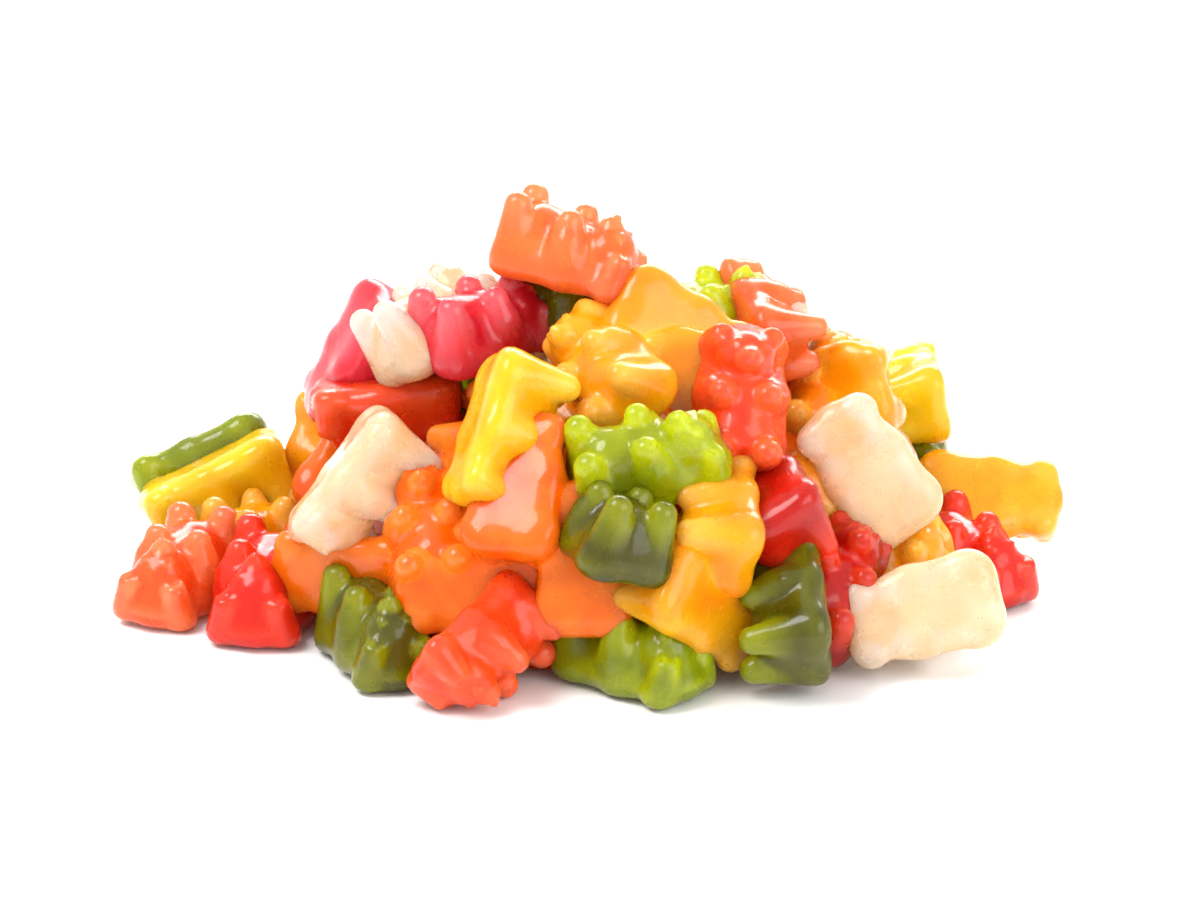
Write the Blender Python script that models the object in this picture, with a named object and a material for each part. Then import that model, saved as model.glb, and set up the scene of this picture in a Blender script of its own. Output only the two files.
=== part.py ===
"""Heap of gummy bears, one solid: a mound-shaped core with every bear of its outer layer fused on.

Lengths are millimetres in the code and are brought to metres at the end.
X runs to the right, Y away from the viewer, Z up, and the floor is Z = 0.
"""
import math
import random

import bmesh
import bpy
import numpy as np
from mathutils import Matrix, Vector

MILLIMETRE = 0.001

# the view in which the heap is laid out
VIEW_ELEVATION = math.radians(20.0)
VIEW_DISTANCE = 700.0
PIXELS_PER_MM = 7.86
PIXEL_X_OF_MIDDLE = 600.0
PIXEL_Y_OF_FLOOR = 605.0
AIM_HEIGHT = 19.1

RIGHT = np.array([1.0, 0.0, 0.0])
UP = np.array([0.0, math.sin(VIEW_ELEVATION), math.cos(VIEW_ELEVATION)])
NEAR = np.array([0.0, -math.cos(VIEW_ELEVATION), math.sin(VIEW_ELEVATION)])

# one bear: x across, y from its flat back to its belly, z from its seat to its ears
BEAR_MIDDLE = np.array([0.0, 5.3, 10.0])
# start, end, radius at the start, radius at the end; those off the middle are made on both sides
TORSO = ((0, 2.7, 5.6), (0, 2.7, 11.0), 5.0, 4.7)
FLANK = ((2.3, 2.0, 4.6), (2.1, 2.0, 12.8), 3.5, 3.3)
BELLY = ((0, 5.8, 5.8), (0, 5.4, 10.4), 4.0, 3.6)
LEG = ((2.9, 1.4, 3.9), (2.9, 9.5, 3.1), 3.3, 1.75)
SHOULDER = ((3.0, 1.0, 10.9), (3.3, 6.2, 10.7), 2.9, 2.1)
ARM = ((3.3, 4.8, 10.6), (2.7, 9.1, 10.2), 2.4, 1.6)
HEAD = ((0, 2.0, 15.4), (0, 5.8, 15.1), 4.7, 3.5)
SNOUT = ((0, 6.0, 15.0), (0, 9.2, 14.6), 3.0, 1.5)
EAR = ((3.2, 1.2, 17.0), (2.95, 5.4, 17.8), 2.5, 1.5)
BEAR_PARTS = (TORSO, FLANK, BELLY, LEG, SHOULDER, ARM, HEAD, SNOUT, EAR)
BEAR_TRIANGLES = 118
HEAP_TRIANGLES = 11800
BEAR_VOXEL = 0.4

# the mound whose surface the bears lie on
PLATEAU_HEIGHT = 35.0
PLATEAU_HALF_WIDTH = 45.0
PLATEAU_HALF_DEPTH = 38.0
PLATEAU_MIDDLE_X = 2.0
SKIRT_HEIGHT = 12.0
SKIRT_HALF_WIDTH = 60.0
SKIRT_HALF_DEPTH = 45.0
CORE_BELOW_MOUND = 3.5
CORE_RINGS = 9
CORE_SPOKES = 30
CORE_EDGE = 0.55
BASE_CUT = 0.25
BASE_FLAT = 0.05
GROUND_SIDE = 300.0
GROUND_THICKNESS = 40.0
WELD = 0.0005

# bears at the back and the sides, laid by rule
# the bear that carries the top one: its middle and how it lies
CARRIER_MIDDLE = (-3.0, 8.5, 37.0)
CARRIER_HEADING = 168.0
BACK_SEED = 12
BACK_TRIES = 4000
BACK_SPACING = 9.2
COVERED_SHARE = 0.95
COVERED_MARGIN = 0.3
# height that the heap may reach in the view, by x
SKYLINE = ((-60, 0), (-57, 15), (-46, 21), (-41, 17), (-38, 25), (-34, 35), (-26, 38),
           (26, 39), (31, 32), (39, 30), (43, 18), (56, 16), (60, 0))

# box of the heap, so that its middle is the origin
HEAP_MIDDLE_X = -0.8
HEAP_MIDDLE_Y = 2.5


def turned(axis, degrees):
    return np.array(Matrix.Rotation(math.radians(degrees), 3, Vector(axis)))


def seen(turn, tilt, roll):
    """Directions of a bear as the viewer sees it: head at `turn` in the picture, tilted towards the viewer, rolled."""
    frame = np.stack([-RIGHT, NEAR, UP], 1)
    frame = turned(UP, roll) @ frame
    frame = turned(RIGHT, tilt) @ frame
    return turned(NEAR, turn - 90) @ frame


def lying(heading, pitch=0.0, roll=0.0):
    """Directions of a bear on its back, its head at `heading` on the floor."""
    angle = math.radians(heading)
    head = np.array([math.cos(angle), math.sin(angle), 0.0])
    belly = np.array([0.0, 0.0, 1.0])
    frame = np.stack([np.cross(belly, head), belly, head], 1)
    frame = turned(frame[:, 0], pitch) @ frame
    return turned(frame[:, 2], roll) @ frame


# how each bear lies: picture place of its middle, its directions, how far out of the mound, its size
FRONT_BEARS = (
    (571, 252, seen(-17, 17, -74), 4, 1.0),
    (370, 366, seen(-122, -20, -115), -5, 1.0),
    (431, 325, seen(38, -32, -80), 1, 1.0),
    (482, 325, seen(20, -35, -60), 5, 1.0),
    (390, 420, seen(187, 0, -105), 2, 1.0),
    (364, 494, seen(-127, 0, -100), 4, 1.03),
    (510, 440, seen(-107, 12, -105), 3, 1.04),
    (599, 373, seen(127, -40, -20), 1, 1.03),
    (672, 345, seen(-30, -10, 160), 1, 1.0),
    (712, 318, seen(10, 0, -60), -3, 1.0),
    (735, 325, seen(10, 0, -120), -6, 1.0),
    (766, 326, seen(118, -50, 120), -3, 0.92),
    (743, 405, seen(86, -8, 5), 4, 1.0),
    (826, 396, seen(70, -30, 0), -2, 1.0),
    (868, 478, seen(125, 0, 180), 4, 1.0),
    (862, 424, seen(92, 0, 152), 0, 1.0),
    (908, 399, seen(98, -70, -90), -5, 0.9),
    (903, 480, seen(90, 0, 0), -4, 1.0),
    (984, 512, seen(-4, 0, 155), 0, 1.0),
    (922, 615, seen(193, 0, 180), 0, 1.04),
    (835, 588, seen(60, -30, 0), -2, 1.0),
    (773, 514, seen(120, -60, 180), -3, 1.0),
    (878, 570, seen(20, 0, 0), -6, 1.0),
    (785, 613, seen(95, -40, -90), 0, 1.0),
    (712, 524, seen(95, -50, -70), 0, 1.0),
    (690, 608, seen(-35, -45, 165), -3, 1.0),
    (645, 460, seen(14, 0, -40), 3, 1.03),
    (613, 532, lying(110, 0, 15), 3, 0.97),
    (223, 500, seen(206, 0, -100), 0, 1.04),
    (211, 482, seen(202, 0, -75), -9, 1.0),
    (335, 480, seen(80, 0, 60), -2, 1.0),
    (430, 535, seen(100, -30, 0), -3, 1.0),
    (525, 500, seen(80, -20, 160), 0, 1.0),
    (355, 575, seen(175, -20, 160), -6, 1.0),
    (478, 598, seen(180, 0, 180), -6, 1.0),
    (585, 565, seen(90, 0, 180), -4, 1.0),
    (680, 412, seen(90, 0, 180), -9, 1.0),
)
# bears on the floor: picture place of the middle, directions, size
FLOOR_BEARS = (
    (969, 558, lying(-57), 1.0),
    (634, 642, lying(-42), 1.04),
    (378, 627, lying(-70), 1.02),
    (265, 586, lying(-98), 1.07),
    (180, 572, lying(-112), 1.02),
    (268, 540, lying(50), 1.0),
    (487, 648, seen(222, 38, -75), 1.0),
)


def mound_height(x, y):
    plateau = math.hypot((x - PLATEAU_MIDDLE_X) / PLATEAU_HALF_WIDTH, y / PLATEAU_HALF_DEPTH)
    skirt = math.hypot(x / SKIRT_HALF_WIDTH, y / SKIRT_HALF_DEPTH)
    return max(PLATEAU_HEIGHT * (1 - plateau ** 2.4), SKIRT_HEIGHT * (1 - skirt ** 5), -30.0)


def bear_balls():
    """Middle and radius of each ball of the bear's parts."""
    balls = []
    for start, end, start_radius, end_radius in BEAR_PARTS:
        for centre, radius in ((start, start_radius), (end, end_radius)):
            for side in ((1, -1) if centre[0] else (1,)):
                balls.append((np.array([centre[0] * side, centre[1], centre[2]], float), radius))
    return balls


BALLS = bear_balls()


def reach(frame, size, direction):
    """How far a bear reaches from its middle in a direction."""
    own = frame.T @ direction
    furthest = -1e9
    for centre, radius in BALLS:
        point = centre + radius * own
        if point[1] < 0:
            along = np.array([own[0], 0.0, own[2]])
            length = max(np.linalg.norm(along), 1e-9)
            width = math.sqrt(max(radius ** 2 - centre[1] ** 2, 0.0))
            point = np.array([centre[0], 0.0, centre[2]]) + along / length * width
        furthest = max(furthest, (frame @ (point - BEAR_MIDDLE)) @ direction)
    return furthest * size


DOWN = np.array([0.0, 0.0, -1.0])


def on_sight_line(x, height, near):
    shrink = (VIEW_DISTANCE - near) / VIEW_DISTANCE
    return RIGHT * x * shrink + UP * (AIM_HEIGHT + (height - AIM_HEIGHT) * shrink) + NEAR * near


def front_place(px, py, frame, out, size):
    """Where the sight line meets the mound, or passes it closest, and never below the floor."""
    x = (px - PIXEL_X_OF_MIDDLE) / PIXELS_PER_MM
    height = (PIXEL_Y_OF_FLOOR - py) / PIXELS_PER_MM
    best_gap = 1e9
    best = 0.0
    for near in np.arange(60, -50, -0.25):
        point = on_sight_line(x, height, near)
        gap = point[2] - mound_height(point[0], point[1])
        if gap < best_gap - 1e-6:
            best_gap = gap
            best = near
        if gap <= 0:
            break
    centre = on_sight_line(x, height, best + out)
    centre[2] = max(centre[2], reach(frame, size, DOWN))
    return centre


def floor_place(px, py, frame, size):
    x = (px - PIXEL_X_OF_MIDDLE) / PIXELS_PER_MM
    height = (PIXEL_Y_OF_FLOOR - py) / PIXELS_PER_MM
    rest = reach(frame, size, DOWN)
    near = (rest - height * math.cos(VIEW_ELEVATION)) / math.sin(VIEW_ELEVATION)
    centre = on_sight_line(x, height, near)
    centre[2] = rest
    return centre


def skyline_height(x):
    xs = [point[0] for point in SKYLINE]
    heights = [point[1] for point in SKYLINE]
    return float(np.interp(x, xs, heights))


def under_skyline(centre, frame, size):
    for direction in (RIGHT, -RIGHT):
        if abs(centre[0] + direction[0] * reach(frame, size, direction)) > SKIRT_HALF_WIDTH:
            return False
    for ball, radius in BALLS:
        point = centre + frame @ (ball - BEAR_MIDDLE) * size
        if point @ UP + radius * size > skyline_height(point[0]):
            return False
    return True


def picture_balls(centre, own, size):
    """A bear's balls as the viewer sees them: across, up, nearness and radius."""
    rows = []
    for ball, radius in BALLS:
        point = centre + own @ (ball - BEAR_MIDDLE) * size
        rows.append((point @ RIGHT, point @ UP, point @ NEAR, radius * size))
    return np.array(rows)


def covered(balls, screen):
    """True where nearer balls hide nearly all of these from the viewer."""
    across = balls[:, None, 0] - screen[None, :, 0]
    up = balls[:, None, 1] - screen[None, :, 1]
    gap = np.hypot(across, up) + COVERED_MARGIN * balls[:, None, 3]
    hidden = (gap < screen[None, :, 3]) & (screen[None, :, 2] > balls[:, None, 2])
    return hidden.any(axis=1).mean() >= COVERED_SHARE


def back_bears(placed):
    """Bears that the view doesn't show, scattered over the back and the sides of the mound."""
    rng = random.Random(BACK_SEED)
    screen = np.concatenate([picture_balls(*bear) for bear in placed])
    added = [(np.array(CARRIER_MIDDLE), lying(CARRIER_HEADING), 1.0)]
    for _ in range(BACK_TRIES):
        x = rng.uniform(-52, 52)
        y = rng.uniform(6, 40)
        heading = rng.uniform(0, 360)
        pitch = rng.uniform(-18, 18)
        roll = rng.choice((0, 0, 90, -90, 180)) + rng.uniform(-20, 20)
        size = rng.uniform(0.96, 1.03)
        z = mound_height(x, y)
        if z < 1:
            continue
        step = 1.0
        slope = Vector(((mound_height(x - step, y) - mound_height(x + step, y)) / (2 * step),
                        (mound_height(x, y - step) - mound_height(x, y + step)) / (2 * step), 1.0)).normalized()
        lean = np.array(Vector((0, 0, 1)).rotation_difference(slope).to_matrix())
        frame = lean @ lying(heading, pitch, roll)
        centre = np.array([x, y, max(z - 1.0, reach(frame, size, DOWN))])
        others = placed + added
        if min(np.linalg.norm(centre - other[0]) for other in others) < BACK_SPACING:
            continue
        if under_skyline(centre, frame, size) and covered(picture_balls(centre, frame, size), screen):
            added.append((centre, frame, size))
    return added


def all_bears():
    bears = []
    for px, py, frame, out, size in FRONT_BEARS:
        bears.append((front_place(px, py, frame, out, size), frame, size))
    for px, py, frame, size in FLOOR_BEARS:
        bears.append((floor_place(px, py, frame, size), frame, size))
    return bears + back_bears(bears)


def link(name, mesh):
    item = bpy.data.objects.new(name, mesh)
    bpy.context.scene.collection.objects.link(item)
    return item


def applied(item):
    """Mesh of an object with its modifiers applied."""
    depsgraph = bpy.context.evaluated_depsgraph_get()
    mesh = bpy.data.meshes.new_from_object(item.evaluated_get(depsgraph))
    item.modifiers.clear()
    item.data = mesh
    return mesh


def bear_mesh():
    """The bear as one low mesh, from hulls round pairs of balls, with a flat back."""
    whole = bmesh.new()
    for start, end, start_radius, end_radius in BEAR_PARTS:
        for side in ((1, -1) if start[0] or end[0] else (1,)):
            piece = bmesh.new()
            for centre, radius in ((start, start_radius), (end, end_radius)):
                place = Matrix.Translation((centre[0] * side, centre[1], centre[2]))
                bmesh.ops.create_icosphere(piece, subdivisions=3, radius=radius, matrix=place)
            hull = bmesh.ops.convex_hull(piece, input=piece.verts[:])
            inside = [part for part in hull["geom_interior"] if isinstance(part, bmesh.types.BMVert)]
            bmesh.ops.delete(piece, geom=inside, context="VERTS")
            piece_mesh = bpy.data.meshes.new("piece")
            piece.to_mesh(piece_mesh)
            piece.free()
            whole.from_mesh(piece_mesh)
            bpy.data.meshes.remove(piece_mesh)
    mesh = bpy.data.meshes.new("bear")
    whole.to_mesh(mesh)
    whole.free()
    bear = link("bear", mesh)
    remesh = bear.modifiers.new("fuse", "REMESH")
    remesh.mode = "VOXEL"
    remesh.voxel_size = BEAR_VOXEL
    soften = bear.modifiers.new("soften", "SMOOTH")
    soften.factor = 0.5
    soften.iterations = 3
    fused = applied(bear)

    flat = bmesh.new()
    flat.from_mesh(fused)
    bmesh.ops.bisect_plane(flat, geom=flat.verts[:] + flat.edges[:] + flat.faces[:],
                           plane_co=(0, 0, 0), plane_no=(0, -1, 0), clear_outer=True)
    bmesh.ops.holes_fill(flat, edges=[edge for edge in flat.edges if len(edge.link_faces) == 1], sides=0)
    bmesh.ops.triangulate(flat, faces=flat.faces[:])
    flat.to_mesh(fused)
    flat.free()
    thin = bear.modifiers.new("thin", "DECIMATE")
    thin.ratio = BEAR_TRIANGLES / len(fused.polygons)
    result = applied(bear).copy()
    bpy.data.objects.remove(bear)
    return result


def core_mesh():
    """A mound a little smaller than the one that the bears lie on."""
    core = bmesh.new()
    rings = []
    for ring in range(1, CORE_RINGS + 1):
        share = CORE_EDGE * ring / CORE_RINGS
        corners = []
        for spoke in range(CORE_SPOKES):
            angle = 2 * math.pi * spoke / CORE_SPOKES
            x = SKIRT_HALF_WIDTH * share * math.cos(angle)
            y = SKIRT_HALF_DEPTH * share * math.sin(angle)
            height = max(mound_height(x, y) - CORE_BELOW_MOUND, 1.0)
            corners.append(core.verts.new((x, y, height)))
        rings.append(corners)
    top = core.verts.new((0, 0, mound_height(0, 0) - CORE_BELOW_MOUND))
    foot = [core.verts.new((vert.co.x, vert.co.y, -2.0)) for vert in rings[-1]]
    bottom = core.verts.new((0, 0, -2.0))
    for spoke in range(CORE_SPOKES):
        following = (spoke + 1) % CORE_SPOKES
        core.faces.new((top, rings[0][spoke], rings[0][following]))
        core.faces.new((bottom, foot[following], foot[spoke]))
        for inner, outer in zip(rings + [rings[-1]], rings[1:] + [foot]):
            if inner is not outer:
                core.faces.new((inner[spoke], outer[spoke], outer[following], inner[following]))
    bmesh.ops.triangulate(core, faces=core.faces[:])
    bmesh.ops.recalc_face_normals(core, faces=core.faces[:])
    mesh = bpy.data.meshes.new("core")
    core.to_mesh(mesh)
    core.free()
    return mesh


def shells(solid):
    """Sets of faces that join across edges with two faces each."""
    left = set(solid.faces)
    found = []
    while left:
        start = left.pop()
        shell = {start}
        stack = [start]
        while stack:
            for edge in stack.pop().edges:
                if len(edge.link_faces) != 2:
                    continue
                for face in edge.link_faces:
                    if face in left:
                        left.remove(face)
                        shell.add(face)
                        stack.append(face)
        found.append(shell)
    return found


def keep_outer_shell(mesh):
    """Leaves the one largest shell, so that sealed hollows are filled and loose scraps go."""
    solid = bmesh.new()
    solid.from_mesh(mesh)
    bmesh.ops.remove_doubles(solid, verts=solid.verts[:], dist=WELD)
    bmesh.ops.dissolve_degenerate(solid, edges=solid.edges[:], dist=WELD)
    bmesh.ops.triangulate(solid, faces=solid.faces[:])
    largest = max(shells(solid), key=len)
    bmesh.ops.delete(solid, geom=[face for face in solid.faces if face not in largest], context="FACES")
    bmesh.ops.delete(solid, geom=[vert for vert in solid.verts if not vert.link_faces], context="VERTS")
    open_edges = [edge for edge in solid.edges if len(edge.link_faces) == 1]
    if open_edges:
        bmesh.ops.holes_fill(solid, edges=open_edges, sides=0)
        bmesh.ops.triangulate(solid, faces=[face for face in solid.faces if len(face.verts) > 3])
    solid.to_mesh(mesh)
    solid.free()


def jelly_material():
    material = bpy.data.materials.new("gummy")
    material.use_nodes = True
    shader = material.node_tree.nodes["Principled BSDF"]
    shader.inputs["Base Color"].default_value = (0.85, 0.28, 0.05, 1.0)
    shader.inputs["Roughness"].default_value = 0.3
    shader.inputs["Metallic"].default_value = 0.0
    material.diffuse_color = (0.85, 0.28, 0.05, 1.0)
    return material


def build():
    for item in list(bpy.data.objects):
        bpy.data.objects.remove(item)
    bear = bear_mesh()
    pieces = bpy.data.collections.new("pieces")
    bpy.context.scene.collection.children.link(pieces)
    for centre, frame, size in all_bears():
        mesh = bear.copy()
        place = Matrix.Translation(centre) @ Matrix(frame).to_4x4() @ Matrix.Scale(size, 4)
        mesh.transform(place @ Matrix.Translation(-BEAR_MIDDLE))
        pieces.objects.link(bpy.data.objects.new("piece", mesh))

    heap = link("gummy_bears", core_mesh())
    fuse = heap.modifiers.new("fuse", "BOOLEAN")
    fuse.operation = "UNION"
    fuse.operand_type = "COLLECTION"
    fuse.collection = pieces
    fuse.solver = "MANIFOLD"
    applied(heap)
    for item in list(pieces.objects):
        bpy.data.objects.remove(item)
    bpy.data.collections.remove(pieces)

    ground = bmesh.new()
    place = Matrix.Translation((0, 0, BASE_CUT - GROUND_THICKNESS / 2))
    sides = Matrix.Diagonal((GROUND_SIDE, GROUND_SIDE, GROUND_THICKNESS, 1))
    bmesh.ops.create_cube(ground, size=1.0, matrix=place @ sides)
    ground_mesh = bpy.data.meshes.new("ground")
    ground.to_mesh(ground_mesh)
    ground.free()
    cutter = link("ground", ground_mesh)
    cutter.hide_render = True
    cutter.display_type = "WIRE"
    level = heap.modifiers.new("level", "BOOLEAN")
    level.operation = "DIFFERENCE"
    level.object = cutter
    level.solver = "MANIFOLD"
    mesh = applied(heap)
    bpy.data.objects.remove(cutter)

    keep_outer_shell(mesh)
    thin = heap.modifiers.new("thin", "DECIMATE")
    thin.ratio = min(HEAP_TRIANGLES / len(mesh.polygons), 1.0)
    mesh = applied(heap)
    for vert in mesh.vertices:
        if vert.co.z < BASE_CUT + BASE_FLAT:
            vert.co.z = BASE_CUT
    move = Matrix.Translation((-HEAP_MIDDLE_X, -HEAP_MIDDLE_Y, -BASE_CUT))
    mesh.transform(Matrix.Scale(MILLIMETRE, 4) @ move)
    mesh.materials.clear()
    mesh.materials.append(jelly_material())
    mesh.shade_flat()
    return heap


build()
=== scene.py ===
"""Heap of gummy bears as soft translucent jelly, one piece for each colour."""

import math
import random

import bpy
import numpy as np
from mathutils import Matrix, Vector


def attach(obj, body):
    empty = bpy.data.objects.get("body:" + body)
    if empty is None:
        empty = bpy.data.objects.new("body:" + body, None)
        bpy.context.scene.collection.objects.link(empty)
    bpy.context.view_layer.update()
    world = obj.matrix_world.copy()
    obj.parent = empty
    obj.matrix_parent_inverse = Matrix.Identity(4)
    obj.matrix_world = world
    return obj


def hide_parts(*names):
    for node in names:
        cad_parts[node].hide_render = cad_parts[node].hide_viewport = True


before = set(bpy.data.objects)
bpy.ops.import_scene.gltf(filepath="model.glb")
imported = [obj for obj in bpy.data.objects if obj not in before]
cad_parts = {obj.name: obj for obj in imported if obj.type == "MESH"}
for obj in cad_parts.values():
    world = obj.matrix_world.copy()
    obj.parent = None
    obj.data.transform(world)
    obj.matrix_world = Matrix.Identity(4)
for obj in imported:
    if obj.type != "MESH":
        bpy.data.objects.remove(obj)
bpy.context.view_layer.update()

MILLIMETRE = 0.001
TINY = 1e-9
TINY_GAP = 1e-6

# the view in which the heap is laid out
VIEW_ELEVATION = math.radians(20.0)
VIEW_DISTANCE = 700.0
PIXELS_PER_MM = 7.86
PIXEL_X_OF_MIDDLE = 600.0
PIXEL_Y_OF_FLOOR = 605.0
AIM_HEIGHT = 19.1
PHOTO_WIDTH = 1200.0
# stretch of each sight line that is searched for the mound, from near to far
SIGHT_START = 60
SIGHT_END = -50
SIGHT_STEP = 0.25
# middle of the heap in plan, and how much is cut off its underside
HEAP_MIDDLE = np.array([-0.8, 2.5, 0.25])

RIGHT = np.array([1.0, 0.0, 0.0])
UP = np.array([0.0, math.sin(VIEW_ELEVATION), math.cos(VIEW_ELEVATION)])
NEAR = np.array([0.0, -math.cos(VIEW_ELEVATION), math.sin(VIEW_ELEVATION)])
DOWN = np.array([0.0, 0.0, -1.0])

# one bear: x across, y from its flat back to its belly, z from its seat to its ears
BEAR_MIDDLE = np.array([0.0, 5.3, 10.0])
# start, end, radius at the start, radius at the end, how softly it joins what is before it
TORSO = ((0, 2.7, 5.6), (0, 2.7, 11.0), 5.0, 4.7, 0.0)
FLANK = ((2.3, 2.0, 4.6), (2.1, 2.0, 12.8), 3.5, 3.3, 1.5)
BELLY = ((0, 5.8, 5.8), (0, 5.4, 10.4), 4.0, 3.6, 1.5)
LEG = ((2.9, 1.4, 3.9), (2.9, 9.5, 3.1), 3.3, 1.75, 1.0)
SHOULDER = ((3.0, 1.0, 10.9), (3.3, 6.2, 10.7), 2.9, 2.1, 1.0)
ARM = ((3.3, 4.8, 10.6), (2.7, 9.1, 10.2), 2.4, 1.6, 0.9)
HEAD = ((0, 2.0, 15.4), (0, 5.8, 15.1), 4.7, 3.5, 1.0)
SNOUT = ((0, 6.0, 15.0), (0, 9.2, 14.6), 3.0, 1.5, 1.0)
EAR = ((3.2, 1.2, 17.0), (2.95, 5.4, 17.8), 2.5, 1.5, 0.9)
BEAR_PARTS = (TORSO, FLANK, BELLY, LEG, SHOULDER, ARM, HEAD, SNOUT, EAR)
# eyes and nose are raised, ear hollows and mouth pressed in: middle, radius, how softly each joins
EYE = ((1.5, 8.5, 16.6), 0.6, 0.35)
NOSE = ((0, 10.5, 15.1), 0.6, 0.3)
EAR_HOLLOW = ((2.95, 6.9, 18.3), 0.6, 0.5)
MOUTH = ((0, 10.7, 13.7), 0.5, 0.4)
# the flat back sinks in a little towards its middle, and its rim is round
BACK_HOLLOW = 0.45
BACK_HOLLOW_ACROSS = 3.4
BACK_HOLLOW_ALONG = 7.5
BACK_HOLLOW_HEIGHT = 10.0
BACK_RIM = 2.8
# box that holds the bear, and the size of the grid cells in which its surface is found
BEAR_LOW = (-8, -2, -2)
BEAR_HIGH = (8, 13, 23)
BEAR_STEP = 0.62
INNER_STEP = 0.95
SLOPE_STEP = 1e-3
LEAST_SLOPE = 0.2
# how each bear differs: bend, arch, width, depth and twist
BEND = 0.45
ARCH = (-0.3, 0.5)
WIDTH_CHANGE = (-0.03, 0.04)
DEPTH_CHANGE = (-0.04, 0.03)
TWIST = 5
STILL_PLACE = 0.3
HALF_HEIGHT = 10.0
# how far in the bear counts as thick, and from what share of that its paler rim colour starts, a
# painted glow of light through thin jelly
THICK = 3.6
RIM_START = 0.4
RIM_SPREAD = 0.4

# the mound whose surface the bears lie on
PLATEAU_HEIGHT = 35.0
PLATEAU_HALF_WIDTH = 45.0
PLATEAU_HALF_DEPTH = 38.0
PLATEAU_MIDDLE_X = 2.0
SKIRT_HEIGHT = 12.0
SKIRT_HALF_WIDTH = 60.0
SKIRT_HALF_DEPTH = 45.0
PLATEAU_ROUNDNESS = 2.4
SKIRT_ROUNDNESS = 5
MOUND_LOWEST = -30.0

# bears at the back and the sides, laid by rule
BACK_HALF_WIDTH = 52
BACK_NEAREST = 6
BACK_FURTHEST = 40
BACK_PITCH = 18
BACK_ROLL = 20
BACK_SIZES = (0.96, 1.03)
BACK_SINK = 1.0
CARRIER_MIDDLE = (-3.0, 8.5, 37.0)
CARRIER_HEADING = 168.0
BACK_SEED = 12
BACK_TRIES = 4000
BACK_SPACING = 9.2
COVERED_SHARE = 0.95
COVERED_MARGIN = 0.3
SKYLINE = ((-60, 0), (-57, 15), (-46, 21), (-41, 17), (-38, 25), (-34, 35), (-26, 38),
           (26, 39), (31, 32), (39, 30), (43, 18), (56, 16), (60, 0))
COLOUR_SEED = 5

# the core, and the bears between it and the outer layer
CORE_BELOW_MOUND = 6.5
CORE_RINGS = 9
CORE_SPOKES = 30
CORE_EDGE = 0.55
CORE_MIDDLE_SHARE = 0.02
CORE_LEAST_HEIGHT = 1.0
INNER_SEED = 8
INNER_TRIES = 3000
INNER_HALF_WIDTH = 46
INNER_HALF_DEPTH = 34
INNER_PITCH = 30
INNER_LOWEST = 5
INNER_BELOW_MOUND = 9.0
INNER_SPACING = 11.0
INNER_SKIN = 1.0


def turned(axis, degrees):
    return np.array(Matrix.Rotation(math.radians(degrees), 3, Vector(axis)))


def seen(turn, tilt, roll):
    """Directions of a bear as the viewer sees it.

    Its head points to `turn` in the picture, it is tilted towards the viewer, then rolled about itself.
    """
    own = np.stack([-RIGHT, NEAR, UP], 1)
    own = turned(UP, roll) @ own
    own = turned(RIGHT, tilt) @ own
    return turned(NEAR, turn - 90) @ own


def lying(heading, pitch=0.0, roll=0.0):
    """Directions of a bear on its back, its head at `heading` on the floor."""
    angle = math.radians(heading)
    head = np.array([math.cos(angle), math.sin(angle), 0.0])
    belly = np.array([0.0, 0.0, 1.0])
    own = np.stack([np.cross(belly, head), belly, head], 1)
    own = turned(own[:, 0], pitch) @ own
    return turned(own[:, 2], roll) @ own
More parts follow.
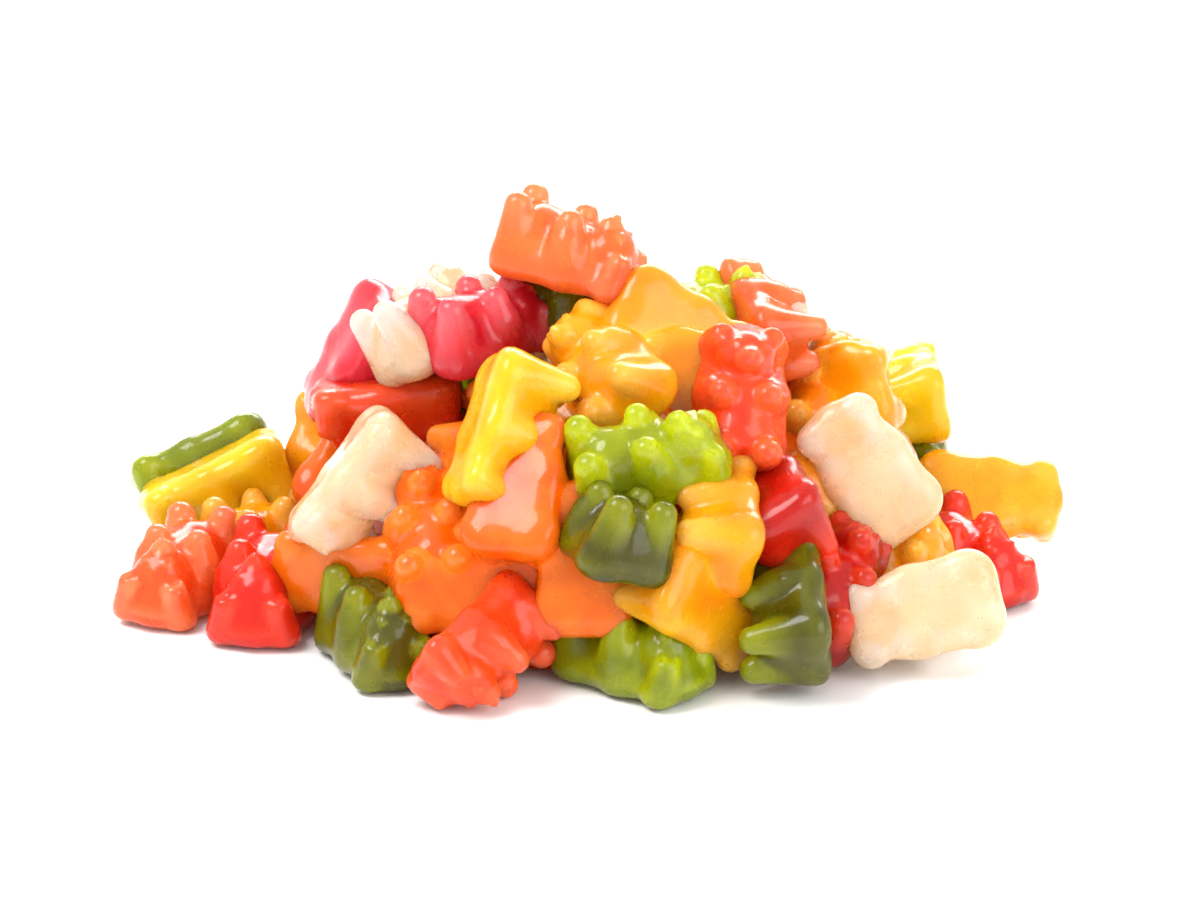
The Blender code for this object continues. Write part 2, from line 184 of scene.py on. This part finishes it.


# how each bear lies: colour and how deep its colour is (partly painted light: some bears that lie in
# shade get a lighter colour), picture place of its middle, its directions, how far out of the mound,
# its size
FRONT_BEARS = (
    ("salmon", 0.3, 571, 252, seen(-17, 17, -74), 4, 1.0),
    ("raspberry", 0.2, 370, 366, seen(-122, -20, -115), -5, 1.0),
    ("clear", 0.3, 431, 325, seen(38, -32, -80), 1, 1.0),
    ("raspberry", 0.7, 482, 325, seen(20, -35, -60), 5, 1.0),
    ("coral", 0.5, 390, 420, seen(187, 0, -105), 2, 1.0),
    ("clear", 0.1, 364, 494, seen(-127, 0, -100), 4, 1.03),
    ("yellow", 0.4, 510, 440, seen(-107, 12, -105), 3, 1.04),
    ("amber", 0.3, 599, 373, seen(127, -40, -20), 1, 1.03),
    ("amber", 0.5, 672, 345, seen(-30, -10, 160), 1, 1.0),
    ("lime", 0.0, 712, 318, seen(10, 0, -60), -3, 1.0),
    ("clear", 0.4, 735, 325, seen(10, 0, -120), -6, 1.0),
    ("salmon", 0.7, 766, 326, seen(118, -50, 120), -3, 0.92),
    ("coral", 0.6, 743, 405, seen(86, -8, 5), 4, 1.0),
    ("amber", 0.9, 826, 396, seen(70, -30, 0), -2, 1.0),
    ("clear", 0.3, 868, 478, seen(125, 0, 180), 4, 1.0),
    ("amber", 0.3, 862, 424, seen(92, 0, 152), 0, 1.0),
    ("yellow", 0.2, 908, 399, seen(98, -70, -90), -5, 0.9),
    ("olive", 0.3, 903, 480, seen(90, 0, 0), -4, 1.0),
    ("amber", 0.1, 984, 512, seen(-4, 0, 155), 0, 1.0),
    ("clear", 0.2, 922, 615, seen(193, 0, 180), 0, 1.04),
    ("red", 0.8, 835, 588, seen(60, -30, 0), -2, 1.0),
    ("red", 0.5, 773, 514, seen(120, -60, 180), -3, 1.0),
    ("amber", 0.4, 878, 570, seen(20, 0, 0), -6, 1.0),
    ("olive", 0.6, 785, 613, seen(95, -40, -90), 0, 1.0),
    ("amber", 0.5, 712, 524, seen(95, -50, -70), 0, 1.0),
    ("amber", 0.2, 690, 608, seen(-35, -45, 165), -3, 1.0),
    ("lime", 0.3, 645, 460, seen(14, 0, -40), 3, 1.03),
    ("olive", 0.8, 613, 532, lying(110, 0, 15), 3, 0.97),
    ("yellow", 0.2, 223, 500, seen(206, 0, -100), 0, 1.04),
    ("lime", 0.9, 211, 482, seen(202, 0, -75), -9, 1.0),
    ("amber", 0.7, 335, 480, seen(80, 0, 60), -2, 1.0),
    ("orange", 0.5, 430, 535, seen(100, -30, 0), -3, 1.0),
    ("orange", 0.6, 525, 500, seen(80, -20, 160), 0, 1.0),
    ("orange", 0.0, 355, 575, seen(175, -20, 160), -6, 1.0),
    ("orange", 0.1, 478, 598, seen(180, 0, 180), -6, 1.0),
    ("orange", 0.2, 585, 565, seen(90, 0, 180), -4, 1.0),
    ("amber", 0.7, 680, 412, seen(90, 0, 180), -9, 1.0),
)
# bears on the floor: colour and how deep it is, picture place of the middle, directions, size
FLOOR_BEARS = (
    ("red", 0.3, 969, 558, lying(-57), 1.0),
    ("lime", 0.9, 634, 642, lying(-42), 1.04),
    ("olive", 0.3, 378, 627, lying(-70), 1.02),
    ("red", 0.1, 265, 586, lying(-98), 1.07),
    ("salmon", 0.8, 180, 572, lying(-112), 1.02),
    ("amber", 0.5, 268, 540, lying(50), 1.0),
    ("coral", 0.4, 487, 648, seen(222, 38, -75), 1.0),
)


def mound_height(x, y):
    plateau = math.hypot((x - PLATEAU_MIDDLE_X) / PLATEAU_HALF_WIDTH, y / PLATEAU_HALF_DEPTH)
    skirt = math.hypot(x / SKIRT_HALF_WIDTH, y / SKIRT_HALF_DEPTH)
    plateau_height = PLATEAU_HEIGHT * (1 - plateau ** PLATEAU_ROUNDNESS)
    skirt_height = SKIRT_HEIGHT * (1 - skirt ** SKIRT_ROUNDNESS)
    return max(plateau_height, skirt_height, MOUND_LOWEST)


def bear_balls():
    """Middle and radius of each ball of the bear's parts."""
    balls = []
    for start, end, start_radius, end_radius, _ in BEAR_PARTS:
        for centre, radius in ((start, start_radius), (end, end_radius)):
            for side in ((1, -1) if centre[0] else (1,)):
                balls.append((np.array([centre[0] * side, centre[1], centre[2]], float), radius))
    return balls


BALLS = bear_balls()


def reach(own, size, direction):
    """How far a bear reaches from its middle in a direction."""
    inward = own.T @ direction
    furthest = -math.inf
    for centre, radius in BALLS:
        point = centre + radius * inward
        if point[1] < 0:
            along = np.array([inward[0], 0.0, inward[2]])
            length = max(np.linalg.norm(along), TINY)
            width = math.sqrt(max(radius ** 2 - centre[1] ** 2, 0.0))
            point = np.array([centre[0], 0.0, centre[2]]) + along / length * width
        furthest = max(furthest, (own @ (point - BEAR_MIDDLE)) @ direction)
    return furthest * size


def on_sight_line(x, height, near):
    shrink = (VIEW_DISTANCE - near) / VIEW_DISTANCE
    return RIGHT * x * shrink + UP * (AIM_HEIGHT + (height - AIM_HEIGHT) * shrink) + NEAR * near


def front_place(px, py, own, out, size):
    """Where the sight line meets the mound, or passes it closest, and never below the floor."""
    x = (px - PIXEL_X_OF_MIDDLE) / PIXELS_PER_MM
    height = (PIXEL_Y_OF_FLOOR - py) / PIXELS_PER_MM
    best_gap = math.inf
    best = 0.0
    for near in np.arange(SIGHT_START, SIGHT_END, -SIGHT_STEP):
        point = on_sight_line(x, height, near)
        gap = point[2] - mound_height(point[0], point[1])
        if gap < best_gap - TINY_GAP:
            best_gap = gap
            best = near
        if gap <= 0:
            break
    centre = on_sight_line(x, height, best + out)
    centre[2] = max(centre[2], reach(own, size, DOWN))
    return centre


def floor_place(px, py, own, size):
    x = (px - PIXEL_X_OF_MIDDLE) / PIXELS_PER_MM
    height = (PIXEL_Y_OF_FLOOR - py) / PIXELS_PER_MM
    rest = reach(own, size, DOWN)
    near = (rest - height * math.cos(VIEW_ELEVATION)) / math.sin(VIEW_ELEVATION)
    centre = on_sight_line(x, height, near)
    centre[2] = rest
    return centre


def skyline_height(x):
    return float(np.interp(x, [point[0] for point in SKYLINE], [point[1] for point in SKYLINE]))


def under_skyline(centre, own, size):
    for direction in (RIGHT, -RIGHT):
        if abs(centre[0] + direction[0] * reach(own, size, direction)) > SKIRT_HALF_WIDTH:
            return False
    for ball, radius in BALLS:
        point = centre + own @ (ball - BEAR_MIDDLE) * size
        if point @ UP + radius * size > skyline_height(point[0]):
            return False
    return True


def lean(x, y):
    """The turn that takes straight up to square with the mound."""
    step = 1.0
    across = (mound_height(x - step, y) - mound_height(x + step, y)) / (2 * step)
    away = (mound_height(x, y - step) - mound_height(x, y + step)) / (2 * step)
    square = Vector((across, away, 1.0)).normalized()
    return np.array(Vector((0, 0, 1)).rotation_difference(square).to_matrix())


def picture_balls(centre, own, size):
    """A bear's balls as the viewer sees them: across, up, nearness and radius."""
    rows = []
    for ball, radius in BALLS:
        point = centre + own @ (ball - BEAR_MIDDLE) * size
        rows.append((point @ RIGHT, point @ UP, point @ NEAR, radius * size))
    return np.array(rows)


def covered(balls, screen):
    """True where nearer balls hide nearly all of these from the viewer."""
    across = balls[:, None, 0] - screen[None, :, 0]
    up = balls[:, None, 1] - screen[None, :, 1]
    gap = np.hypot(across, up) + COVERED_MARGIN * balls[:, None, 3]
    hidden = (gap < screen[None, :, 3]) & (screen[None, :, 2] > balls[:, None, 2])
    return hidden.any(axis=1).mean() >= COVERED_SHARE


def back_bears(placed):
    """Bears that the view doesn't show, scattered over the back and the sides of the mound."""
    rng = random.Random(BACK_SEED)
    screen = np.concatenate([picture_balls(*bear) for bear in placed])
    added = [(np.array(CARRIER_MIDDLE), lying(CARRIER_HEADING), 1.0)]
    for _ in range(BACK_TRIES):
        x = rng.uniform(-BACK_HALF_WIDTH, BACK_HALF_WIDTH)
        y = rng.uniform(BACK_NEAREST, BACK_FURTHEST)
        heading = rng.uniform(0, 360)
        pitch = rng.uniform(-BACK_PITCH, BACK_PITCH)
        roll = rng.choice((0, 0, 90, -90, 180)) + rng.uniform(-BACK_ROLL, BACK_ROLL)
        size = rng.uniform(*BACK_SIZES)
        z = mound_height(x, y) - BACK_SINK
        if z < 0:
            continue
        own = lean(x, y) @ lying(heading, pitch, roll)
        centre = np.array([x, y, max(z, reach(own, size, DOWN))])
        others = placed + added
        if min(np.linalg.norm(centre - other[0]) for other in others) < BACK_SPACING:
            continue
        if under_skyline(centre, own, size) and covered(picture_balls(centre, own, size), screen):
            added.append((centre, own, size))
    return added


def inner_bears():
    """A second layer, under the first, that shows only through the gaps."""
    rng = random.Random(INNER_SEED)
    added = []
    for _ in range(INNER_TRIES):
        x = rng.uniform(-INNER_HALF_WIDTH, INNER_HALF_WIDTH)
        y = rng.uniform(-INNER_HALF_DEPTH, INNER_HALF_DEPTH)
        heading = rng.uniform(0, 360)
        pitch = rng.uniform(-INNER_PITCH, INNER_PITCH)
        own = lean(x, y) @ lying(heading, pitch, rng.uniform(0, 360))
        z = mound_height(x, y) - INNER_BELOW_MOUND
        if z < INNER_LOWEST:
            continue
        centre = np.array([x, y, max(z, reach(own, 1.0, DOWN))])
        tips = [(centre + own @ (ball - BEAR_MIDDLE), radius) for ball, radius in BALLS]
        if any(tip[2] + radius > mound_height(tip[0], tip[1]) - INNER_SKIN for tip, radius in tips):
            continue
        if added and min(np.linalg.norm(centre - other[0]) for other in added) < INNER_SPACING:
            continue
        added.append((centre, own, 1.0))
    return added


# the bear's surface, found where its distance is zero

def round_cone(points, start, end, start_radius, end_radius):
    start = np.array(start, float)
    axis = np.array(end, float) - start
    share = np.clip((points - start) @ axis / (axis @ axis), 0, 1)
    gap = np.linalg.norm(points - start - share[:, None] * axis, axis=1)
    return gap - (start_radius + share * (end_radius - start_radius))


def joined(first, second, softness):
    blend = np.maximum(softness - np.abs(first - second), 0) / softness
    return np.minimum(first, second) - blend * blend * softness / 4


def bear_distance(points):
    folded = points.copy()
    folded[:, 0] = np.abs(folded[:, 0])
    distance = None
    for start, end, start_radius, end_radius, softness in BEAR_PARTS:
        part = round_cone(folded, start, end, start_radius, end_radius)
        distance = part if distance is None else joined(distance, part, softness)
    for middle, radius, softness in (EYE, NOSE):
        distance = joined(distance, np.linalg.norm(folded - middle, axis=1) - radius, softness)
    for middle, radius, softness in (EAR_HOLLOW, MOUTH):
        distance = -joined(-distance, np.linalg.norm(folded - middle, axis=1) - radius, softness)
    across = folded[:, 0] / BACK_HOLLOW_ACROSS
    along = (folded[:, 2] - BACK_HOLLOW_HEIGHT) / BACK_HOLLOW_ALONG
    hollow = BACK_HOLLOW * np.exp(-(across ** 2) - along ** 2)
    return -joined(-distance, folded[:, 1] - hollow, BACK_RIM)


def slopes(distance, points):
    """Which way, and how fast, the distance grows at each point."""
    here = distance(points)
    columns = [(distance(points + SLOPE_STEP * way) - here) / SLOPE_STEP for way in np.eye(3)]
    return here, np.stack(columns, 1)


def surface(distance, low, high, step):
    """Quads of the surface where distance is zero, one point for each grid cell that it crosses."""
    axes = [np.arange(a, b + step, step) for a, b in zip(low, high)]
    grid = np.stack(np.meshgrid(*axes, indexing="ij"), -1).reshape(-1, 3)
    values = distance(grid).reshape([len(a) for a in axes])
    cells = tuple(len(a) - 1 for a in axes)
    total = np.zeros(cells + (3,))
    count = np.zeros(cells)
    quads = []
    for axis in range(3):
        before = [slice(None)] * 3
        after = [slice(None)] * 3
        before[axis] = slice(0, -1)
        after[axis] = slice(1, None)
        one = values[tuple(before)]
        two = values[tuple(after)]
        crossed = (one < 0) != (two < 0)
        share = np.where(crossed, one / np.where(one == two, 1, one - two), 0)
        index = np.argwhere(crossed)
        point = index * step + np.array(low, float)
        point[:, axis] += share[crossed] * step
        others = [other for other in range(3) if other != axis]
        around = []
        for first, second in ((0, 0), (-1, 0), (-1, -1), (0, -1)):
            cell = index.copy()
            cell[:, others[0]] += first
            cell[:, others[1]] += second
            np.add.at(total, tuple(cell.T), point)
            np.add.at(count, tuple(cell.T), 1)
            around.append(np.ravel_multi_index(cell.T, cells))
        quad = np.stack(around, 1)
        flip = (one[crossed] > 0) ^ (axis == 1)
        quad[flip] = quad[flip][:, ::-1]
        quads.append(quad)
    quads = np.concatenate(quads)
    used, inverse = np.unique(quads, return_inverse=True)
    points = total.reshape(-1, 3)[used] / count.reshape(-1)[used][:, None]
    for _ in range(3):
        here, slope = slopes(distance, points)
        points -= here[:, None] * slope / np.maximum((slope * slope).sum(1), LEAST_SLOPE)[:, None]
    return points, inverse.reshape(quads.shape)


def thinness(points):
    """From 0 where the bear is thick behind a point to 1 at its knobs and rims."""
    _, slope = slopes(bear_distance, points)
    slope /= np.maximum(np.linalg.norm(slope, axis=1), LEAST_SLOPE)[:, None]
    depth = -bear_distance(points - slope * THICK)
    return np.clip((1 - depth / THICK - RIM_START) / RIM_SPREAD, 0, 1)


def misshapen(points, rng):
    """A little bend, arch, widening, deepening and twist, so that no two bears are quite alike."""
    z = (points[:, 2] - BEAR_MIDDLE[2]) / HALF_HEIGHT
    bend = rng.uniform(-BEND, BEND)
    arch = rng.uniform(*ARCH)
    wider = rng.uniform(*WIDTH_CHANGE)
    twist = math.radians(rng.uniform(-TWIST, TWIST))
    out = points.copy()
    out[:, 0] *= 1 + wider
    out[:, 1] *= 1 + rng.uniform(*DEPTH_CHANGE)
    out[:, 0] += bend * (z ** 2 - STILL_PLACE)
    out[:, 1] += arch * (STILL_PLACE - z ** 2)
    cosine = np.cos(twist * z)
    sine = np.sin(twist * z)
    across = out[:, 0] * cosine - (out[:, 1] - BEAR_MIDDLE[1]) * sine
    deep = out[:, 0] * sine + (out[:, 1] - BEAR_MIDDLE[1]) * cosine + BEAR_MIDDLE[1]
    out[:, 0] = across
    out[:, 1] = deep
    return out


BEAR_SURFACE = surface(bear_distance, BEAR_LOW, BEAR_HIGH, BEAR_STEP)
INNER_SURFACE = surface(bear_distance, BEAR_LOW, BEAR_HIGH, INNER_STEP)
BEAR_THINNESS = thinness(BEAR_SURFACE[0])
INNER_THINNESS = thinness(INNER_SURFACE[0])


def placed_points(shape, centre, own, size, rng):
    """A bear's points in the heap, flattened where it would reach below the floor."""
    points = (misshapen(shape, rng) - BEAR_MIDDLE) * size @ own.T + centre
    return np.maximum(points - HEAP_MIDDLE, [-np.inf, -np.inf, 0.0]) * MILLIMETRE


def core_points():
    """The mound under the bears, as a fan of quads with a flat underside."""
    spokes = CORE_SPOKES
    rings = []
    for ring in range(CORE_RINGS + 1):
        share = CORE_EDGE * max(ring, CORE_MIDDLE_SHARE) / CORE_RINGS
        for spoke in range(spokes):
            angle = 2 * math.pi * spoke / spokes
            x = SKIRT_HALF_WIDTH * share * math.cos(angle)
            y = SKIRT_HALF_DEPTH * share * math.sin(angle)
            rings.append((x, y, max(mound_height(x, y) - CORE_BELOW_MOUND, CORE_LEAST_HEIGHT)))
    for share in (CORE_EDGE, CORE_EDGE * CORE_MIDDLE_SHARE / CORE_RINGS):
        for spoke in range(spokes):
            angle = 2 * math.pi * spoke / spokes
            x = SKIRT_HALF_WIDTH * share * math.cos(angle)
            y = SKIRT_HALF_DEPTH * share * math.sin(angle)
            rings.append((x, y, 0.0))
    rows = len(rings) // spokes
    quads = []
    for row in range(rows):
        for spoke in range(spokes):
            after = (spoke + 1) % spokes
            here = row * spokes
            below = (row + 1) % rows * spokes
            quads.append((here + spoke, below + spoke, below + after, here + after))
    return np.array(rings) + [0.0, 0.0, HEAP_MIDDLE[2]], np.array(quads)


COLOURS = ("salmon", "coral", "raspberry", "clear", "yellow",
           "amber", "orange", "red", "lime", "olive")
INNER_COLOURS = ("coral", "amber", "orange", "orange", "red", "yellow")


def gather():
    """Every bear's mesh, joined colour by colour."""
    rng = random.Random(COLOUR_SEED)
    front = [(front_place(px, py, own, out, size), own, size, colour, depth)
             for colour, depth, px, py, own, out, size in FRONT_BEARS]
    front += [(floor_place(px, py, own, size), own, size, colour, depth)
              for colour, depth, px, py, own, size in FLOOR_BEARS]
    back = [(centre, own, size, rng.choice(COLOURS), rng.random())
            for centre, own, size in back_bears([(b[0], b[1], b[2]) for b in front])]
    inner = [(centre, own, size, rng.choice(INNER_COLOURS), rng.random())
             for centre, own, size in inner_bears()]
    heaps = {colour: [] for colour in COLOURS}
    for bears, (shape, quads), thin in ((front + back, BEAR_SURFACE, BEAR_THINNESS),
                                        (inner, INNER_SURFACE, INNER_THINNESS)):
        for centre, own, size, colour, depth in bears:
            heaps[colour].append((placed_points(shape, centre, own, size, rng), quads, depth, thin))
    points, quads = core_points()
    # the core takes the deepest orange all over and no paler rims: painted shade for the gaps between
    # the bears
    heaps["orange"].append(((points - HEAP_MIDDLE) * MILLIMETRE, quads, 1.0, np.zeros(len(points))))
    return heaps


def piece(name, parts):
    points = np.concatenate([part[0] for part in parts])
    quads = []
    start = 0
    tint = []
    for own_points, own_quads, shade, _ in parts:
        quads.append(own_quads + start)
        start += len(own_points)
        tint.append(np.full(len(own_points), shade))
    quads = np.concatenate(quads)
    mesh = bpy.data.meshes.new(name)
    mesh.vertices.add(len(points))
    mesh.vertices.foreach_set("co", points.astype(np.float32).ravel())
    mesh.loops.add(quads.size)
    mesh.loops.foreach_set("vertex_index", quads.astype(np.int32).ravel())
    mesh.polygons.add(len(quads))
    mesh.polygons.foreach_set("loop_start", np.arange(0, quads.size, 4, dtype=np.int32))
    mesh.polygons.foreach_set("loop_total", np.full(len(quads), 4, dtype=np.int32))
    mesh.update(calc_edges=True)
    mesh.validate()
    mesh.shade_smooth()
    layer = mesh.attributes.new("tint", "FLOAT", "POINT")
    layer.data.foreach_set("value", np.concatenate(tint).astype(np.float32))
    # thinness of each point, which places the paler rim colour painted as a glow of light through thin
    # jelly
    layer = mesh.attributes.new("thin", "FLOAT", "POINT")
    layer.data.foreach_set("value", np.concatenate([part[3] for part in parts]).astype(np.float32))
    item = bpy.data.objects.new(name, mesh)
    bpy.context.scene.collection.objects.link(item)
    return item


# colour in the light, deeper colour, paler colour at thin rims that is a painted glow of light shining
# through thin jelly, how strong that painted glow is there, and how much light passes
LOOKS = {
    "salmon": ((1.0, 0.20, 0.030), (0.92, 0.065, 0.008), (1.0, 0.36, 0.14), 0.45, 0.38),
    "coral": ((1.0, 0.10, 0.010), (0.82, 0.022, 0.004), (1.0, 0.20, 0.06), 0.45, 0.35),
    "raspberry": ((0.94, 0.045, 0.075), (0.60, 0.004, 0.012), (1.0, 0.22, 0.26), 0.45, 0.35),
    "clear": ((1.0, 0.80, 0.50), (1.0, 0.54, 0.22), (1.0, 0.95, 0.86), 0.85, 0.5),
    "yellow": ((1.0, 0.66, 0.003), (1.0, 0.38, 0.001), (1.0, 0.82, 0.08), 0.5, 0.35),
    "amber": ((1.0, 0.47, 0.003), (0.95, 0.23, 0.001), (1.0, 0.62, 0.10), 0.5, 0.32),
    "orange": ((1.0, 0.21, 0.003), (0.90, 0.070, 0.001), (1.0, 0.36, 0.04), 0.45, 0.28),
    "red": ((0.88, 0.018, 0.004), (0.36, 0.002, 0.001), (1.0, 0.08, 0.02), 0.4, 0.3),
    "lime": ((0.46, 0.55, 0.001), (0.15, 0.19, 0.001), (0.72, 0.82, 0.008), 0.5, 0.35),
    "olive": ((0.16, 0.16, 0.001), (0.032, 0.030, 0.001), (0.40, 0.44, 0.002), 0.5, 0.3),
}

# noise scales for each metre: painted light and dark patches that stand in for the glow and shade
# inside the jelly, frosted patches, dimples and fine grain
PAINTED_PATCH_SCALE = 120.0
FROST_SCALE = 260.0
DIMPLE_SCALE = 330.0
DIMPLE_DEPTH = 0.0003
GRAIN_SCALE = 3600.0
GRAIN_DEPTH = 0.00005
# how much a bear's own tint shifts its painted light and dark patches, and the stretch of both that the
# two colours span
TINT_SHARE = 0.4
PAINTED_PATCH_STRETCH = (0.36, 0.98)


def noise(material, place, scale, detail):
    """A cloud of noise in the object's own place."""
    cloud = material.node_tree.nodes.new("ShaderNodeTexNoise")
    cloud.inputs["Scale"].default_value = scale
    cloud.inputs["Detail"].default_value = detail
    material.node_tree.links.new(place.outputs["Object"], cloud.inputs["Vector"])
    return cloud


def bump(material, height, strength, distance):
    """A bump from a noise's height."""
    uneven = material.node_tree.nodes.new("ShaderNodeBump")
    uneven.inputs["Strength"].default_value = strength
    uneven.inputs["Distance"].default_value = distance
    material.node_tree.links.new(height.outputs["Fac"], uneven.inputs["Height"])
    return uneven


def jelly(name):
    light, deep, thin_glow, thin_glow_share, passes = LOOKS[name]
    material = bpy.data.materials.new("jelly_" + name)
    material.use_nodes = True
    nodes = material.node_tree.nodes
    links = material.node_tree.links
    shader = nodes["Principled BSDF"]
    place = nodes.new("ShaderNodeTexCoord")
    # painted light and dark patches, laid at random, that stand in for the glow and shade inside the
    # jelly
    cloud = noise(material, place, PAINTED_PATCH_SCALE, 1.0)
    cloud.inputs["Distortion"].default_value = 0.6
    own_tint = nodes.new("ShaderNodeAttribute")
    own_tint.attribute_name = "tint"
    share = nodes.new("ShaderNodeMath")
    share.operation = "MULTIPLY_ADD"
    share.inputs[1].default_value = TINT_SHARE
    links.new(own_tint.outputs["Fac"], share.inputs[0])
    links.new(cloud.outputs["Fac"], share.inputs[2])
    spread = nodes.new("ShaderNodeMapRange")
    spread.inputs["From Min"].default_value = PAINTED_PATCH_STRETCH[0]
    spread.inputs["From Max"].default_value = PAINTED_PATCH_STRETCH[1]
    links.new(share.outputs["Value"], spread.inputs["Value"])
    colour = nodes.new("ShaderNodeMix")
    colour.data_type = "RGBA"
    colour.inputs["A"].default_value = (*light, 1.0)
    colour.inputs["B"].default_value = (*deep, 1.0)
    links.new(spread.outputs["Result"], colour.inputs["Factor"])
    # paler colour painted at thin knobs and rims: a painted glow of light shining through thin jelly
    own_thin = nodes.new("ShaderNodeAttribute")
    own_thin.attribute_name = "thin"
    strength = nodes.new("ShaderNodeMath")
    strength.operation = "MULTIPLY"
    strength.inputs[1].default_value = thin_glow_share
    links.new(own_thin.outputs["Fac"], strength.inputs[0])
    painted_glow = nodes.new("ShaderNodeMix")
    painted_glow.data_type = "RGBA"
    painted_glow.inputs["B"].default_value = (*thin_glow, 1.0)
    links.new(strength.outputs["Value"], painted_glow.inputs["Factor"])
    links.new(colour.outputs["Result"], painted_glow.inputs["A"])
    links.new(painted_glow.outputs["Result"], shader.inputs["Base Color"])
    shader.inputs["Transmission Weight"].default_value = passes
    shader.inputs["IOR"].default_value = 1.38
    shader.subsurface_method = "BURLEY"
    shader.inputs["Subsurface Weight"].default_value = 1.0
    shader.inputs["Subsurface Radius"].default_value = (1.0, 0.75, 0.55)
    shader.inputs["Subsurface Scale"].default_value = 0.0035
    shader.inputs["Specular IOR Level"].default_value = 0.15
    shader.inputs["Coat Weight"].default_value = 0.4
    shader.inputs["Coat Roughness"].default_value = 0.08

    frost = noise(material, place, FROST_SCALE, 3.0)
    rough = nodes.new("ShaderNodeMapRange")
    rough.inputs["From Min"].default_value = 0.3
    rough.inputs["From Max"].default_value = 0.7
    rough.inputs["To Min"].default_value = 0.17
    rough.inputs["To Max"].default_value = 0.38
    links.new(frost.outputs["Fac"], rough.inputs["Value"])
    links.new(rough.outputs["Result"], shader.inputs["Roughness"])

    dimples = noise(material, place, DIMPLE_SCALE, 1.0)
    uneven = bump(material, dimples, 0.5, DIMPLE_DEPTH)
    grains = noise(material, place, GRAIN_SCALE, 1.0)
    grainy = bump(material, grains, 0.4, GRAIN_DEPTH)
    links.new(uneven.outputs["Normal"], grainy.inputs["Normal"])
    links.new(grainy.outputs["Normal"], shader.inputs["Normal"])
    return material


node_name = sorted(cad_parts)[0]
for colour, parts in gather().items():
    item = piece("gummy_" + colour, parts)
    item.data.materials.append(jelly(colour))
    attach(item, "root")
    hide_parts(node_name)
    print(colour, len(parts), "bears", len(item.data.polygons) * 2, "triangles")


# floor, light and camera

FLOOR_HALF_SIDE = 6.0
FLOOR_GAP = 0.0002
LAMP_AIM = Vector((0, 0, 0.02))
SENSOR_WIDTH = 36.0


def floor_plane():
    side = FLOOR_HALF_SIDE
    corners = [(-side, -side, 0), (side, -side, 0), (side, side, 0), (-side, side, 0)]
    mesh = bpy.data.meshes.new("floor")
    mesh.from_pydata(corners, [], [(0, 1, 2, 3)])
    item = bpy.data.objects.new("floor", mesh)
    bpy.context.scene.collection.objects.link(item)
    item.location.z = -FLOOR_GAP
    material = bpy.data.materials.new("white_surface")
    material.use_nodes = True
    nodes = material.node_tree.nodes
    shader = nodes["Principled BSDF"]
    grain = nodes.new("ShaderNodeTexNoise")
    grain.inputs["Scale"].default_value = 6.0
    tone = nodes.new("ShaderNodeMix")
    tone.data_type = "RGBA"
    tone.inputs["A"].default_value = (0.93, 0.93, 0.93, 1.0)
    tone.inputs["B"].default_value = (0.95, 0.95, 0.95, 1.0)
    material.node_tree.links.new(grain.outputs["Fac"], tone.inputs["Factor"])
    material.node_tree.links.new(tone.outputs["Result"], shader.inputs["Base Color"])
    shader.inputs["Roughness"].default_value = 0.7
    mesh.materials.append(material)
    return item


floor_plane()


def soft_light(name, place, size, power):
    lamp = bpy.data.lights.new(name, "AREA")
    lamp.shape = "RECTANGLE"
    lamp.size = size[0]
    lamp.size_y = size[1]
    lamp.energy = power
    item = bpy.data.objects.new(name, lamp)
    item.location = place
    item.rotation_euler = (LAMP_AIM - Vector(place)).to_track_quat("-Z", "Y").to_euler()
    bpy.context.scene.collection.objects.link(item)


soft_light("key", (-0.35, -0.15, 0.6), (0.34, 0.34), 4.0)
soft_light("fill", (0.5, -0.45, 0.35), (0.6, 0.5), 3.0)
soft_light("back", (0.1, 0.6, 0.4), (0.7, 0.3), 6.0)

world = bpy.data.worlds.new("studio")
world.use_nodes = True
surround = world.node_tree.nodes["Background"]
surround.inputs["Color"].default_value = (1.0, 1.0, 1.0, 1.0)
surround.inputs["Strength"].default_value = 1.0
bpy.context.scene.world = world

camera = bpy.data.cameras.new("camera")
camera.sensor_width = SENSOR_WIDTH
camera.lens = SENSOR_WIDTH * VIEW_DISTANCE * PIXELS_PER_MM / PHOTO_WIDTH
viewer = bpy.data.objects.new("camera", camera)
viewer.location = Vector((UP * AIM_HEIGHT - HEAP_MIDDLE + NEAR * VIEW_DISTANCE) * MILLIMETRE)
viewer.rotation_euler = (math.pi / 2 - VIEW_ELEVATION, 0.0, 0.0)
camera.clip_start = 0.01
camera.clip_end = 20.0
bpy.context.scene.collection.objects.link(viewer)
bpy.context.scene.camera = viewer
bpy.context.scene.view_settings.view_transform = "Standard"
cycles = bpy.context.scene.cycles
cycles.max_bounces = 6
cycles.transmission_bounces = 6
cycles.glossy_bounces = 2
cycles.diffuse_bounces = 2
